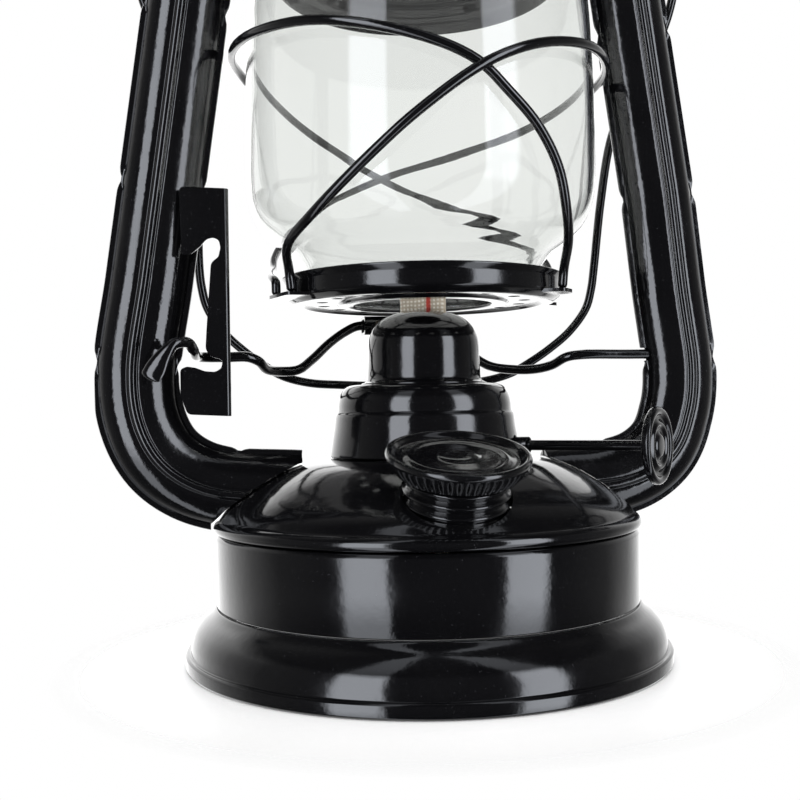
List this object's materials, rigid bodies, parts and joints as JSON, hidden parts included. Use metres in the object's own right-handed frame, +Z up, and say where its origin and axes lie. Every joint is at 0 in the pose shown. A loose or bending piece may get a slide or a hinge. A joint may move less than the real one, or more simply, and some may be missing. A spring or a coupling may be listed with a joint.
{
  "type": "barn lantern",
  "caption": "Kerosene barn lantern with black enamelled tank, side air tubes, a glass globe raised by a crank, wick knob, screw filler cap, sliding hooded chimney and wire bail.",
  "frame": {"origin": "centre of the base ring, on the plane it rests on", "axes": "+Z up the lantern, +X towards the wick knob's side tube, -Y towards the filler cap at the front"},
  "size_m": [0.155, 0.116, 0.2547],
  "materials": {
    "enamel": "gloss",
    "steel": "satin",
    "glass": "clear",
    "cotton": "woven",
    "rubber": "matte"
  },
  "bodies": {
    "frame": {"foot_skirt": "enamel", "tank_wall": "enamel", "tank_bottom": "steel", "tank_dome": "enamel", "filler_neck": "enamel", "burner_base": "enamel", "burner_deck": "steel", "burner_cone": "enamel", "wick_tube": "steel", "spindle_bush": "steel", "tube_left": "enamel", "tube_right": "enamel", "lever_bracket": "enamel", "chamber_pan": "enamel", "chamber_lid": "enamel", "ear_left": "enamel", "ear_right": "enamel", "ear_rivet_left": "steel", "ear_rivet_right": "steel"},
    "globe_carriage": {"globe_plate": "enamel", "plate_strap": "enamel", "guard_loop_left": "enamel", "guard_loop_right": "enamel", "glass_globe": "glass"},
    "lift_lever": {"lift_crank": "enamel"},
    "chimney": {"globe_holder": "enamel", "chimney_tube": "enamel", "hood": "enamel", "ring_staple": "enamel"},
    "ring": {"lift_ring": "enamel"},
    "bail": {"bail": "enamel"},
    "knob": {"wick_knob": "enamel", "wick_spindle": "steel", "wick_wheel_1": "steel", "wick_wheel_2": "steel"},
    "wick": {"wick": "cotton"},
    "gasket": {"cap_gasket": "rubber"},
    "cap": {"filler_cap": "enamel"}
  },
  "joints": [
    {"name": "globe_lift", "type": "slide", "parent": "frame", "child": "globe_carriage", "axis": [0, 0, 1], "range_m": [-0.0184, 0]},
    {"name": "lever_turn", "type": "hinge", "parent": "frame", "child": "lift_lever", "pos_m": [0, 0, 0.072], "axis": [1, 0, 0], "range_deg": [-42.2, 0]},
    {"name": "chimney_slide", "type": "slide", "parent": "globe_carriage", "child": "chimney", "axis": [0, 0, 1], "range_m": [0, 0.008]},
    {"name": "ring_swing", "type": "hinge", "parent": "chimney", "child": "ring", "pos_m": [0, 0, 0.2512], "axis": [0, 1, 0], "range_deg": [0, 206]},
    {"name": "bail_swing", "type": "hinge", "parent": "frame", "child": "bail", "pos_m": [0, 0, 0.175], "axis": [1, 0, 0], "range_deg": [0, 300]},
    {"name": "knob_turn", "type": "hinge", "parent": "frame", "child": "knob", "pos_m": [0.00297, 0.00325, 0.0502], "axis": [0.7385, -0.6743, 0], "range_deg": [-66, 102]},
    {"name": "wick_slide", "type": "slide", "parent": "frame", "child": "wick", "axis": [0, 0, 1], "range_m": [-0.0059, 0.0039]},
    {"name": "cap_rise", "type": "slide", "parent": "frame", "child": "gasket", "axis": [0, -0.2807, 0.9598], "range_m": [0, 0.0049]},
    {"name": "cap_turn", "type": "hinge", "parent": "gasket", "child": "cap", "pos_m": [-0.0018, -0.0411, 0.0497], "axis": [0, -0.2807, 0.9598], "range_deg": [0, 710]}
  ],
  "couplings": [
    {"joint": "lever_turn", "follows": "globe_lift", "rad_per_m": 39.85},
    {"joint": "knob_turn", "follows": "wick_slide", "rad_per_m": -294.1},
    {"joint": "cap_turn", "follows": "cap_rise", "rad_per_m": 2512.6}
  ]
}
